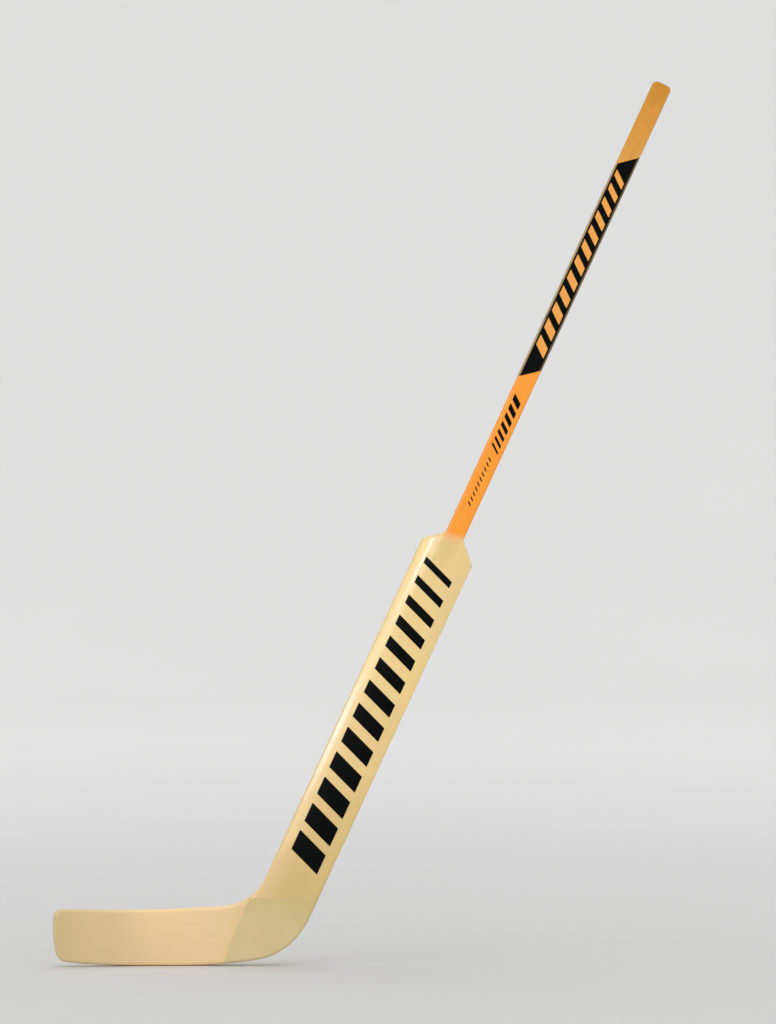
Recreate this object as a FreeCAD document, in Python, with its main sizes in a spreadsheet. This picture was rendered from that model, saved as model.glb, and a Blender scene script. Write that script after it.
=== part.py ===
import FreeCAD, Part
import math
import os

import Sketcher
from FreeCAD import Placement, Rotation, Vector

# Goalkeeper's ice-hockey stick, laminated wood and foam.
# X runs from the toe (-) to the heel (+), Z is up, the face that shows is -Y.
# The origin is the middle of the flat part of the sole, where the blade stands
# on the ice. The shaft leans over by lean_deg from the vertical, towards +X.
# In the leaning frame w is measured across the shaft and along along it, from
# the point where the shaft's centre line meets the ice.

doc = FreeCAD.newDocument("goalie_stick")
dims = doc.addObject("Spreadsheet::Sheet", "Dims")

CELLS = [
    # shaft
    ("lean_deg", 24.78, "shaft's lean from the vertical, degrees"),
    ("foot_x", 143.29, "where the shaft's centre line meets the ice"),
    ("butt_along", 1510.2, "butt end, along the shaft"),
    ("butt_round", 8.0, "rounding of the butt's corners, seen from the face"),
    ("shaft_wide", 30.5, "shaft, across the face"),
    ("shaft_thick", 20.0, "shaft and paddle, front to back"),
    ("shaft_round", 3.5, "rounding of the shaft's long edges"),
    ("wall", 0.6, "glass sleeve and skins"),
    ("face_ply", 3.0, "hardwood face ply"),
    ("center_ply", 4.4, "hardwood centre ply"),
    ("ply_low", -30.0, "plies start below the sole and are trimmed to it"),
    # paddle
    ("paddle_half", 44.45, "half the paddle's width"),
    ("neck_along", 735.8, "paddle's top, where the sleeve starts"),
    ("neck_half", 15.25, "half the paddle's width at its top"),
    ("shoulder_toe", 712.5, "shoulder corner on the toe side"),
    ("shoulder_heel", 705.5, "shoulder corner on the heel side"),
    ("shoulder_round", 8.0, "rounding of the shoulder corners"),
    ("edge_wide", 10.0, "width of the hardwood edge all round"),
    ("foam_low", 138.0, "foam starts above the heel blocks"),
    ("edge_round", 5.0, "edge rounding of paddle, heel and blade"),
    ("bevel_wide", 15.0, "bevel along the paddle's edges, at the shoulders"),
    ("bevel_start", 4.4, "the same at its foot, where it runs out in the rounding"),
    ("bevel_foot_toe", 400.0, "the bevel's foot, on the toe side"),
    ("bevel_foot_heel", 393.0, "the bevel's foot, on the heel side"),
    ("bevel_slope", 0.235, "fall of the bevel for each mm across"),
    # outline of sole, toe, blade top and throat: tangent arcs
    ("flat_half", 30.0, "half the length of the sole's flat"),
    ("sole_toe_rad", 1130.0, "rocker of the sole towards the toe"),
    ("toe_low_x", -150.07840061, ""),
    ("toe_low_z", 6.398123129, ""),
    ("toe_low_rad", 20.4, "toe's lower corner"),
    ("toe_face_x", -167.849897798, ""),
    ("toe_face_z", 22.371591342, ""),
    ("toe_face_rad", 178.5, "toe, bowed outwards"),
    ("toe_high_x", -170.967367194, ""),
    ("toe_high_z", 78.131616557, ""),
    ("toe_high_rad", 12.5, "toe's upper corner"),
    ("top_x", -157.9425277, ""),
    ("top_z", 89.354536279, ""),
    ("top_rad", 2106.0, "blade's top edge, slightly hollow"),
    ("throat_x", 93.670345985, ""),
    ("throat_z", 92.538524202, ""),
    ("throat_rad", 76.293092924, "throat between blade and paddle"),
    ("throat_along", 129.99317114, "throat meets the paddle's edge"),
    # outline of the heel
    ("sole_heel_rad", 768.0, "rocker of the sole towards the heel"),
    ("heel_low_x", 143.517627748, ""),
    ("heel_low_z", 8.435816938, ""),
    ("heel_low_rad", 102.0, "heel, lower arc"),
    ("heel_mid_x", 199.424173065, ""),
    ("heel_mid_z", 36.066552629, ""),
    ("heel_mid_rad", 128.047155774, "heel, upper arc"),
    ("heel_along", 102.411754512, "heel meets the paddle's edge"),
    # blade curve and taper
    ("curve_x", 90.0, "the blade starts to curve and thin here"),
    ("curve_front", 1990.0, "radius of the blade's front face"),
    ("curve_back", 1387.0, "radius of the blade's back face"),
    # heel joint
    ("joint_w", -40.0, "glue line between heel block and blade core"),
    ("skin_w", -45.0, "joint between paddle skin and blade skin"),
    ("slot_along", 105.0, "top of the slot in the spine"),
    ("tongue_x", 40.0, "tip of the tongue in the blade core"),
    ("tongue_low", 26.0, "tongue's lower edge"),
    ("tongue_high", 70.0, "tongue's upper edge"),
    ("patch_thick", 0.4, "extra cloth over the heel"),
    ("patch_inset", 5.6, "patch stays on the flat of the face"),
    ("patch_low_x", 89.3, ""),
    ("patch_mid_x", 102.0, ""),
    ("patch_mid_z", 33.5, ""),
    ("patch_high_x", 132.8, ""),
    ("patch_high_z", 105.5, ""),
    # where the edge pieces meet
    ("toe_cut_x", -154.0, "toe strip ends"),
    ("sole_cut_x", 100.0, "sole strip ends"),
]
for row, (alias, value, note) in enumerate(CELLS, 1):
    dims.set("A%d" % row, note or alias)
    dims.set("B%d" % row, repr(value))
    dims.setAlias("B%d" % row, alias)
doc.recompute()


class Size:
    """A number together with the formula on the sheet that gives it."""

    def __init__(self, value, formula):
        self.value = value
        self.formula = formula

    def join(self, other, sign, value):
        return Size(value, "(%s %s %s)" % (self.formula, sign, other.formula))

    def __add__(self, other):
        other = size(other)
        return self.join(other, "+", self.value + other.value)

    def __sub__(self, other):
        other = size(other)
        return self.join(other, "-", self.value - other.value)

    def __mul__(self, other):
        other = size(other)
        return self.join(other, "*", self.value * other.value)

    def __truediv__(self, other):
        other = size(other)
        return self.join(other, "/", self.value / other.value)

    def __neg__(self):
        return Size(-self.value, "(0 - %s)" % self.formula)


def size(thing):
    if isinstance(thing, Size):
        return thing
    return Size(float(thing), "%r" % float(thing))


def cell(alias):
    return Size(float(getattr(dims, alias)), "Dims.%s" % alias)


LEAN = math.radians(cell("lean_deg").value)
SIN = Size(math.sin(LEAN), "sin(Dims.lean_deg * 1 deg)")
COS = Size(math.cos(LEAN), "cos(Dims.lean_deg * 1 deg)")


def leaning(w, along):
    """A point of the leaning frame as X and Z."""
    w, along = size(w), size(along)
    return (cell("foot_x") + w * COS + along * SIN, along * COS - w * SIN)


def bind(obj, prop, what):
    what = size(what)
    if "Dims." in what.formula:
        obj.setExpression(prop, what.formula)


CON = Sketcher.Constraint
FACE = Placement(Vector(0, 0, 0), Rotation(Vector(1, 0, 0), 90))  # sketch x, y = X, Z
PLAN = Placement()  # sketch x, y = X, Y


def draw(sk, points, arcs=None):
    """A closed outline through points. arcs[i] is the radius of the arc from
    point i to the next, positive where it turns left, negative to the right."""
    arcs = arcs or {}
    points = [(size(x), size(y)) for x, y in points]
    ends = []
    for i, (x, y) in enumerate(points):
        u, v = points[(i + 1) % len(points)]
        a, b = Vector(x.value, y.value, 0), Vector(u.value, v.value, 0)
        if i not in arcs:
            geo = sk.addGeometry(Part.LineSegment(a, b), False)
            ends.append((geo, 1, 2))
            continue
        radius, left = abs(size(arcs[i]).value), size(arcs[i]).value > 0
        half = (b - a) * 0.5
        rise = math.sqrt(max(radius**2 - half.Length**2, 0.0))
        side = Vector(-half.y, half.x, 0).normalize() * (rise if left else -rise)
        mid = a + half + side
        first, last = (a, b) if left else (b, a)
        angle = [math.atan2(p.y - mid.y, p.x - mid.x) for p in (first, last)]
        if angle[1] < angle[0]:
            angle[1] += 2 * math.pi
        circle = Part.Circle(mid, Vector(0, 0, 1), radius)
        geo = sk.addGeometry(Part.ArcOfCircle(circle, *angle), False)
        ends.append((geo, 1, 2) if left else (geo, 2, 1))
    add = sk.addConstraint
    for i, (geo, start, end) in enumerate(ends):
        nxt = ends[(i + 1) % len(ends)]
        add(CON("Coincident", geo, end, nxt[0], nxt[1]))
    for i, (geo, start, end) in enumerate(ends):
        x, y = points[i]
        for word, what, axis in (("DistanceX", x, -2), ("DistanceY", y, -1)):
            if abs(what.value) < 1e-9:
                add(CON("PointOnObject", geo, start, axis))
                continue
            con = add(CON(word, -1, 1, geo, start, what.value))
            if "Dims." in what.formula:
                sk.renameConstraint(con, "%s%d" % ("px" if axis == -2 else "py", i))
                bind(sk, "Constraints.%s%d" % ("px" if axis == -2 else "py", i), what)
        if i in arcs:
            what = size(arcs[i])
            what = what if what.value > 0 else -what
            con = add(CON("Radius", geo, what.value))
            sk.renameConstraint(con, "rad%d" % i)
            bind(sk, "Constraints.rad%d" % i, what)
    return sk


def outline(name, place, points, arcs=None):
    sk = doc.addObject("Sketcher::SketchObject", name)
    sk.Placement = place
    return draw(sk, points, arcs)


def prism(name, sk, way, low, high):
    ex = doc.addObject("Part::Extrusion", name)
    ex.Base = sk
    ex.DirMode = "Custom"
    ex.Dir = way
    ex.Solid = True
    low, high = size(low), size(high)
    ex.LengthFwd, ex.LengthRev = high.value, -low.value
    bind(ex, "LengthFwd", high)
    bind(ex, "LengthRev", -low)
    return ex


ACROSS, UP = Vector(0, 1, 0), Vector(0, 0, 1)


def face_region(name, points, low=-60.0, high=60.0, arcs=None):
    """A prism through the stick, drawn on its face."""
    return prism(name, outline(name + "_sk", FACE, points, arcs), ACROSS, low, high)


def common(name, *shapes):
    obj = doc.addObject("Part::MultiCommon", name)
    obj.Shapes = list(shapes)
    return obj


def cut(name, base, tool):
    obj = doc.addObject("Part::Cut", name)
    obj.Base, obj.Tool = base, tool
    return obj


def settle(*objs):
    doc.recompute()
    for obj in objs:
        if obj.Shape.isNull() or not obj.Shape.isValid():
            raise RuntimeError("%s has no valid shape" % obj.Name)


# ---------------------------------------------------------------- outline
HALF = cell("paddle_half")
toe_rail = leaning(-HALF, cell("throat_along"))
toe_shoulder = leaning(-HALF, cell("shoulder_toe"))
toe_neck = leaning(-cell("neck_half"), cell("neck_along"))
heel_neck = leaning(cell("neck_half"), cell("neck_along"))
heel_shoulder = leaning(HALF, cell("shoulder_heel"))
heel_rail = leaning(HALF, cell("heel_along"))

OUTLINE = [
    (cell("flat_half"), 0.0),
    (-cell("flat_half"), 0.0),
    (cell("toe_low_x"), cell("toe_low_z")),
    (cell("toe_face_x"), cell("toe_face_z")),
    (cell("toe_high_x"), cell("toe_high_z")),
    (cell("top_x"), cell("top_z")),
    (cell("throat_x"), cell("throat_z")),
    toe_rail,
    toe_shoulder,
    toe_neck,
    heel_neck,
    heel_shoulder,
    heel_rail,
    (cell("heel_mid_x"), cell("heel_mid_z")),
    (cell("heel_low_x"), cell("heel_low_z")),
]
ARCS = {
    1: -cell("sole_toe_rad"),
    2: -cell("toe_low_rad"),
    3: -cell("toe_face_rad"),
    4: -cell("toe_high_rad"),
    5: cell("top_rad"),
    6: cell("throat_rad"),
    12: -cell("heel_mid_rad"),
    13: -cell("heel_low_rad"),
    14: -cell("sole_heel_rad"),
}
whole = face_region("whole", OUTLINE, -60.0, 60.0, ARCS)


def inset(points, arcs, by):
    """The same outline, moved inwards: arcs keep their centres and corners stay
    sharp. The outline runs clockwise, so the inside is on its right."""
    pts = [Vector(size(x).value, size(y).value, 0) for x, y in points]
    count = len(pts)

    def heading(i, at):
        a, b = pts[i], pts[(i + 1) % count]
        if i not in arcs:
            return (b - a).normalize()
        radius = size(arcs[i]).value
        half = (b - a) * 0.5
        rise = math.sqrt(radius**2 - half.Length**2)
        left = Vector(-half.y, half.x, 0).normalize()
        middle = a + half + left * math.copysign(rise, radius)
        arm = (pts[at] - middle).normalize()
        return Vector(-arm.y, arm.x, 0) * math.copysign(1.0, radius)

    moved = []
    for i, p in enumerate(pts):
        come, go = heading((i - 1) % count, i), heading(i, i)
        n0, n1 = Vector(come.y, -come.x, 0), Vector(go.y, -go.x, 0)
        q = p + (n0 + n1) * (by / (1.0 + n0.dot(n1)))
        moved.append((size(q.x), size(q.y)))
    return moved, {i: size(r).value + by for i, r in arcs.items()}


def inset_region(name, by, low=-60.0, high=60.0):
    points, arcs = inset(OUTLINE, ARCS, by)
    return face_region(name, points, low, high, arcs)


inner = inset_region("inner", cell("edge_wide").value)

# ---------------------------------------------------------------- thickness
# Straight over paddle and heel, curved and tapered over the blade: the toe bends
# towards -Y.
FAR, TOE = 900.0, -200.0
thick = cell("shaft_thick") / 2.0
core_y = thick - cell("wall")


def on_curve(y, radius, x):
    run = x - cell("curve_x").value
    return y - radius + math.sqrt(radius**2 - run**2)


def blade_band(name, front, back):
    """The space between a front and a back face: (y, radius), or a bare y."""
    points, arcs = [], {}
    for y, radius in (front, back):
        bend = None
        if radius is not None:
            bend = size(on_curve(y.value, radius.value, TOE))
        pair = [(FAR, y), (cell("curve_x"), y), (TOE, bend)] if bend else [(FAR, y), (TOE, y)]
        points.append((pair, radius))
    (fp, fr), (bp, br) = points
    loop = fp + bp[::-1]
    if fr is not None:
        arcs[1] = fr
    if br is not None:
        arcs[len(fp)] = -br
    return prism(name, outline(name + "_sk", PLAN, loop, arcs), UP, -30.0, 1450.0)


front_outer = (-thick, cell("curve_front"))
back_outer = (thick, cell("curve_back"))
front_inner = (-core_y, cell("curve_front") + cell("wall"))
back_inner = (core_y, cell("curve_back") - cell("wall"))
outer_band = blade_band("outer_band", front_outer, back_outer)
core_band = blade_band("core_band", front_inner, back_inner)
mid_rad = (cell("curve_front") + cell("curve_back")) / 2.0
front_half = blade_band("front_half", (size(-90.0), None), (size(0.0), mid_rad))
back_half = blade_band("back_half", (size(0.0), mid_rad), (size(60.0), None))


def bevels(name, deep):
    """What a cutter takes off along the paddle's long edges, on a face at +-deep.
    The cut has one slope and runs out half-way down, so it is widest at the top."""
    tools = []
    for side, sign, start, shoulder in (
        ("toe", -1.0, "bevel_foot_toe", "shoulder_toe"),
        ("heel", 1.0, "bevel_foot_heel", "shoulder_heel"),
    ):
        edge = (HALF - cell("bevel_start")) * sign
        far = edge + sign * 26.0
        fall = cell("bevel_slope") * 26.0
        x, z = leaning(0.0, cell(start))
        place = Placement(
            Vector(x.value, 0, z.value),
            Rotation(Vector(0, 1, 0), cell("lean_deg").value),
        )
        drift = (
            -sign
            * (cell("bevel_wide").value - cell("bevel_start").value)
            / (cell(shoulder).value - cell(start).value)
        )
        way = Vector(SIN.value + drift * COS.value, 0, COS.value - drift * SIN.value)
        for face, out in (("front", -1.0), ("back", 1.0)):
            sk = outline(
                "%s_%s_%s_sk" % (name, side, face),
                place,
                [
                    (edge, deep * out),
                    (far, deep * out - fall * out),
                    (far, (deep + 30.0) * out),
                    (edge, (deep + 30.0) * out),
                ],
            )
            bind(sk, "Placement.Base.x", x)
            bind(sk, "Placement.Base.z", z)
            tools.append(prism("%s_%s_%s" % (name, side, face), sk, way, 0.0, 700.0))
    return tools


def cut_all(name, base, tools):
    for i, tool in enumerate(tools):
        base = cut("%s_%d" % (name, i), base, tool)
    return base


blank = common("blank", whole, outer_band)
core_zone = cut_all("core_zone", core_band, bevels("core_bevel", core_y))
settle(blank, core_zone, inner)


# ---------------------------------------------------------------- rounded edges
def frame_of(p):
    """Across and along, in the leaning frame."""
    x = p.x - cell("foot_x").value
    return (
        x * COS.value - p.z * SIN.value,
        x * SIN.value + p.z * COS.value,
    )


def mid_of(edge):
    return edge.valueAt((edge.FirstParameter + edge.LastParameter) / 2)


corner = doc.addObject("Part::Fillet", "corner")
corner.Base = blank
chosen = []
for i, edge in enumerate(blank.Shape.Edges, 1):
    w, along = frame_of(mid_of(edge))
    run = edge.Vertexes[-1].Point - edge.Vertexes[0].Point
    if abs(run.y) > 0.99 * max(run.Length, 1e-6) and 40 < abs(w) < 50 and along > 690:
        chosen.append((i, cell("shoulder_round").value, cell("shoulder_round").value))
corner.Edges = chosen
settle(corner)


def edge_radius(p):
    w, along = frame_of(p)
    if along > cell("shoulder_heel").value and abs(w) < 16.5:
        return cell("shaft_round").value
    return cell("edge_round").value


soft = doc.addObject("Part::Fillet", "soft")
soft.Base = corner
chosen = []
for i, edge in enumerate(corner.Shape.Edges, 1):
    p = mid_of(edge)
    w, along = frame_of(p)
    tangent = edge.tangentAt((edge.FirstParameter + edge.LastParameter) / 2)
    if abs(tangent.y) > 0.9:
        continue  # runs through the thickness
    if abs(p.x - cell("curve_x").value) < 1e-3 and abs(tangent.z) > 0.999:
        continue  # where the blade starts to curve
    if along > cell("neck_along").value - 0.5:
        continue  # the sleeve goes on from here
    first = edge.valueAt(edge.FirstParameter)
    last = edge.valueAt(edge.LastParameter)
    chosen.append((i, edge_radius(first), edge_radius(last)))
soft.Edges = chosen
settle(soft)
rounded = cut_all("rounded", soft, bevels("bevel", thick))
settle(rounded)

# ---------------------------------------------------------------- spine and sleeve
BODY_PLY = cell("shaft_wide") / 2.0 - cell("wall")


def leaning_body(name, along):
    body = doc.addObject("PartDesign::Body", name)
    x, z = leaning(0.0, along)
    body.Placement = Placement(
        Vector(x.value, 0, z.value), Rotation(Vector(0, 1, 0), cell("lean_deg").value)
    )
    bind(body, "Placement.Base.x", x)
    bind(body, "Placement.Base.z", z)
    return body


def sketch_in(body, name, role):
    sk = body.newObject("Sketcher::SketchObject", name)
    plane = [f for f in body.Origin.OriginFeatures if f.Role == role][0]
    sk.AttachmentSupport = [(plane, "")]
    sk.MapMode = "FlatFace"
    return sk


def padded(body, sk, name, length):
    pad = body.newObject("PartDesign::Pad", name)
    pad.Profile = sk
    length = size(length)
    pad.Length = length.value
    bind(pad, "Length", length)
    body.Tip = pad
    return pad


def ply(name, low, high, rounding=None):
    """A full-length ply between two depths; rounding is on the outer corners."""
    low, high = size(low), size(high)
    body = leaning_body(name + "_body", cell("ply_low"))
    sk = sketch_in(body, name + "_sk", "XY_Plane")
    half = BODY_PLY
    if rounding is None:
        draw(sk, [(-half, low), (half, low), (half, high), (-half, high)])
    elif rounding == "front":
        r = cell("shaft_round") - cell("wall")
        draw(
            sk,
            [
                (-half + r, low),
                (half - r, low),
                (half, low + r),
                (half, high),
                (-half, high),
                (-half, low + r),
            ],
            {1: r, 5: r},
        )
    else:
        r = cell("shaft_round") - cell("wall")
        draw(
            sk,
            [
                (-half, low),
                (half, low),
                (half, high - r),
                (half - r, high),
                (-half + r, high),
                (-half, high - r),
            ],
            {2: r, 4: r},
        )
    padded(body, sk, name + "_pad", cell("butt_along") - cell("ply_low") + 5.0)
    return body


face = cell("face_ply")
mid_ply = cell("center_ply") / 2.0
plies = {
    "shaft_center_ply": ply("center", -mid_ply, mid_ply),
    "shaft_inner_ply_front": ply("inner_front", -core_y + face, -mid_ply),
    "shaft_inner_ply_back": ply("inner_back", mid_ply, core_y - face),
    "shaft_face_ply_front": ply("face_front", -core_y, -core_y + face, "front"),
    "shaft_face_ply_back": ply("face_back", core_y - face, core_y, "back"),
}

sleeve_body = leaning_body("sleeve_body", cell("neck_along"))
sk = sketch_in(sleeve_body, "sleeve_sk", "XY_Plane")
for step in (size(0.0), cell("wall")):
    half, deep = cell("shaft_wide") / 2.0 - step, thick - step
    r = cell("shaft_round") - step
    ring = [
        (-half + r, -deep),
        (half - r, -deep),
        (half, -deep + r),
        (half, deep - r),
        (half - r, deep),
        (-half + r, deep),
        (-half, deep - r),
        (-half, -deep + r),
    ]
    if step.value == 0.0:
        draw(sk, ring, {1: r, 3: r, 5: r, 7: r})
        padded(
            sleeve_body,
            sk,
            "sleeve_pad",
            cell("butt_along") - cell("neck_along") + 5.0,
        )
    else:
        hollow_body = leaning_body("sleeve_hollow", cell("neck_along") - 10.0)
        hollow_sk = sketch_in(hollow_body, "sleeve_hollow_sk", "XY_Plane")
        draw(hollow_sk, ring, {1: r, 3: r, 5: r, 7: r})
        padded(
            hollow_body,
            hollow_sk,
            "sleeve_hollow_pad",
            cell("butt_along") - cell("neck_along") + 30.0,
        )

# Seen from the face, the shaft ends square with rounded corners.
side = cell("shaft_wide") / 2.0
end, br = cell("butt_along"), cell("butt_round")
butt = face_region(
    "butt",
    [
        leaning(-side, -60.0),
        leaning(side, -60.0),
        leaning(side, end - br),
        leaning(side - br, end),
        leaning(br - side, end),
        leaning(-side, end - br),
    ],
    -30.0,
    30.0,
    {2: br, 4: br},
)
under = face_region(
    "under", [(40.0, -40.0), (260.0, -40.0), (260.0, 90.0), (40.0, 90.0)], -40.0, 40.0
)
foot = cut("foot", under, inner)  # what lies outside the edge strip's inner side
settle(foot, butt)

nodes = {}


def node(label, obj):
    obj.Label = label
    nodes[label] = obj
    return obj


above_slot = face_region(
    "above_slot",
    [
        leaning(-30.0, cell("slot_along")),
        leaning(30.0, cell("slot_along")),
        leaning(30.0, 1600.0),
        leaning(-30.0, 1600.0),
    ],
)
for label, body in plies.items():
    if label == "shaft_center_ply":
        node(label, common(label, body, butt, above_slot))
    else:
        node(label, cut(label, common(label + "_long", body, butt), foot))
sleeve_tube = cut("sleeve_tube", sleeve_body, hollow_body)
node("shaft_sleeve", common("shaft_sleeve", sleeve_tube, butt))


# ---------------------------------------------------------------- regions on the face
def strip(name, w0, w1, a0, a1):
    """A rectangle of the leaning frame."""
    return face_region(
        name, [leaning(w0, a0), leaning(w1, a0), leaning(w1, a1), leaning(w0, a1)]
    )


core = common("core", rounded, core_zone)  # all that lies between the skins
ring_all = cut("ring_all", core, inner)  # the hardwood edge
fill = common("fill", core, inner)  # what the edge holds
settle(ring_all, fill)

# tongue: a foot in the spine's slot and an arm into the blade core
def on_left(z):
    """X of the spine's toe-side face at a height."""
    return cell("foot_x") + z * SIN / COS - BODY_PLY / COS


tongue_plan = face_region(
    "tongue_plan",
    [
        (cell("tongue_x"), cell("tongue_low")),
        (on_left(cell("tongue_low")), cell("tongue_low")),
        leaning(-BODY_PLY, -20.0),
        leaning(BODY_PLY, -20.0),
        leaning(BODY_PLY, cell("slot_along")),
        leaning(-BODY_PLY, cell("slot_along")),
        (on_left(cell("tongue_high")), cell("tongue_high")),
        (cell("tongue_x"), cell("tongue_high")),
    ],
    -mid_ply,
    mid_ply,
)
node("heel_spline", cut("heel_spline", tongue_plan, foot))

# heel blocks, foam and blade core
node(
    "heel_block_toe_side",
    cut(
        "heel_block_toe_side",
        common(
            "block_toe",
            fill,
            strip("block_toe_plan", cell("joint_w"), -BODY_PLY, -60.0, cell("foam_low")),
        ),
        tongue_plan,
    ),
)
node(
    "heel_block_heel_side",
    common(
        "heel_block_heel_side",
        fill,
        strip("block_heel_plan", BODY_PLY, 80.0, -60.0, cell("foam_low")),
    ),
)
node(
    "paddle_foam_toe_side",
    common(
        "paddle_foam_toe_side",
        fill,
        strip("foam_toe_plan", -80.0, -BODY_PLY, cell("foam_low"), 760.0),
    ),
)
node(
    "paddle_foam_heel_side",
    common(
        "paddle_foam_heel_side",
        fill,
        strip("foam_heel_plan", BODY_PLY, 80.0, cell("foam_low"), 760.0),
    ),
)
node(
    "blade_foam_core",
    cut(
        "blade_foam_core",
        common(
            "blade_core",
            fill,
            strip("blade_core_plan", -400.0, cell("joint_w"), -260.0, cell("foam_low")),
        ),
        tongue_plan,
    ),
)

# ---------------------------------------------------------------- hardwood edge
split_x = cell("throat_x")
node(
    "blade_toe_strip",
    common(
        "blade_toe_strip",
        ring_all,
        face_region(
            "toe_plan",
            [
                (-220.0, -30.0),
                (cell("toe_cut_x"), -30.0),
                (cell("toe_cut_x"), 130.0),
                (-220.0, 130.0),
            ],
        ),
    ),
)
node(
    "blade_top_strip",
    common(
        "blade_top_strip",
        ring_all,
        face_region(
            "top_plan",
            [
                (cell("toe_cut_x"), 48.0),
                (split_x, 48.0),
                (split_x, 130.0),
                (cell("toe_cut_x"), 130.0),
            ],
        ),
    ),
)
node(
    "blade_sole_strip",
    common(
        "blade_sole_strip",
        ring_all,
        face_region(
            "sole_plan",
            [
                (cell("toe_cut_x"), -30.0),
                (cell("sole_cut_x"), -30.0),
                (cell("sole_cut_x"), 48.0),
                (cell("toe_cut_x"), 48.0),
            ],
        ),
    ),
)
node(
    "heel_strip_inner",
    common(
        "heel_strip_inner",
        ring_all,
        face_region(
            "throat_plan",
            [
                (split_x, 60.0),
                leaning(-24.0, 60.0),
                leaning(-24.0, cell("throat_along")),
                leaning(-90.0, cell("throat_along")),
                (split_x, 160.0),
            ],
        ),
    ),
)
node(
    "heel_strip_outer",
    common(
        "heel_strip_outer",
        ring_all,
        face_region(
            "heel_plan",
            [
                (cell("sole_cut_x"), -30.0),
                (300.0, -30.0),
                leaning(80.0, cell("heel_along")),
                leaning(24.0, cell("heel_along")),
                (cell("sole_cut_x"), 40.0),
            ],
        ),
    ),
)
for word, sign, low, shoulder in (
    ("toe", -1.0, "throat_along", "shoulder_toe"),
    ("heel", 1.0, "heel_along", "shoulder_heel"),
):
    out = HALF * sign
    inside = (HALF - 24.0) * sign
    # mitre through the shoulder corner
    turn = math.atan2(
        HALF.value - cell("neck_half").value,
        cell("neck_along").value - cell(shoulder).value,
    )
    drop = math.tan(turn / 2)
    mitre_in = cell(shoulder) - size(24.0 * drop)
    mitre_out = cell(shoulder) + size(20.0 * drop)
    node(
        "paddle_rail_%s_side" % word,
        common(
            "paddle_rail_%s_side" % word,
            ring_all,
            face_region(
                "rail_%s_plan" % word,
                [
                    leaning(inside, cell(low)),
                    leaning(out + 20.0 * sign, cell(low)),
                    leaning(out + 20.0 * sign, mitre_out),
                    leaning(inside, mitre_in),
                ],
            ),
        ),
    )
    node(
        "shoulder_rail_%s_side" % word,
        common(
            "shoulder_rail_%s_side" % word,
            ring_all,
            face_region(
                "shoulder_%s_plan" % word,
                [
                    leaning(BODY_PLY * sign, mitre_in),
                    leaning(inside, mitre_in),
                    leaning(out + 20.0 * sign, mitre_out),
                    leaning(out + 20.0 * sign, 770.0),
                    leaning(BODY_PLY * sign, 770.0),
                ],
            ),
        ),
    )

# ---------------------------------------------------------------- skins and patches
paddle_plan = strip("paddle_plan", cell("skin_w"), 120.0, -120.0, 800.0)
blade_plan = strip("blade_plan", -420.0, cell("skin_w"), -300.0, 800.0)
patch_area = inset_region("patch_area", cell("patch_inset").value)
both_skins = cut("both_skins", rounded, core_zone)
for word, half in (("front", front_half), ("back", back_half)):
    skin = common("skin_" + word, both_skins, half)
    node(
        "paddle_skin_" + word, common("paddle_skin_" + word, skin, paddle_plan)
    )
    node("blade_skin_" + word, common("blade_skin_" + word, skin, blade_plan))
    depth = (
        (-thick - cell("patch_thick"), -thick)
        if word == "front"
        else (thick, thick + cell("patch_thick"))
    )
    cloth = face_region(
        "cloth_" + word,
        [
            (cell("patch_low_x"), -10.0),
            (280.0, -10.0),
            (280.0, cell("patch_high_z")),
            (cell("patch_high_x"), cell("patch_high_z")),
            (cell("patch_mid_x"), cell("patch_mid_z")),
        ],
        *depth,
    )
    node("heel_patch_" + word, common("heel_patch_" + word, cloth, patch_area))

# ---------------------------------------------------------------- check and write
doc.recompute()
bad = [
    o.Name
    for o in doc.Objects
    if "Invalid" in o.State or "Error" in o.State
]
for label, obj in nodes.items():
    if obj.Shape.isNull() or not obj.Shape.isValid() or len(obj.Shape.Solids) != 1:
        bad.append("%s (%d solids)" % (label, len(obj.Shape.Solids)))
if bad:
    raise RuntimeError("not built: " + ", ".join(bad))
os.makedirs("parts", exist_ok=True)
for label, obj in nodes.items():
    obj.Shape.exportStep("parts/%s.step" % label)
    box = obj.Shape.BoundBox
    print(
        "%-24s %9.1f mm3  X %8.2f %8.2f  Y %7.2f %7.2f  Z %8.2f %8.2f"
        % (label, obj.Shape.Volume, box.XMin, box.XMax, box.YMin, box.YMax, box.ZMin, box.ZMax)
    )
print(len(nodes), "pieces")
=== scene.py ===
import math

import bmesh
import bpy
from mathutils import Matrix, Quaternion, Vector
from mathutils.geometry import delaunay_2d_cdt


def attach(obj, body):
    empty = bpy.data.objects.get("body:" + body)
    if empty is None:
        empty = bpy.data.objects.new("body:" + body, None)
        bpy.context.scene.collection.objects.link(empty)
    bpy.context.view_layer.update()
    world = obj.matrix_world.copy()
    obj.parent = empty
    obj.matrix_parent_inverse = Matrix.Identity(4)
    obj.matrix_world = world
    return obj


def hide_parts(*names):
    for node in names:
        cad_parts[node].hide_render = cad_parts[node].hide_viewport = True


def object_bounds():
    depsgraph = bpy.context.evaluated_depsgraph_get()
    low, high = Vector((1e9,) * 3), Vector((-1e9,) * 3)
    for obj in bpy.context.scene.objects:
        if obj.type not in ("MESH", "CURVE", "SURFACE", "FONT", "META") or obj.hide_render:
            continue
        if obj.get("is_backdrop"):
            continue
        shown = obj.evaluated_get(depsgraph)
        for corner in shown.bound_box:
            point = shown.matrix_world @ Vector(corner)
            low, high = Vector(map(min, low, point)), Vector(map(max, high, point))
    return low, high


# Goalkeeper's ice-hockey stick. Lengths are in millimetres until a mesh is made.
# X runs from the toe (-) to the heel (+), Z is up, the face that shows is -Y.
# In the leaning frame w is across the shaft and t along it, from the point where
# the shaft's centre line meets the ice.

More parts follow.
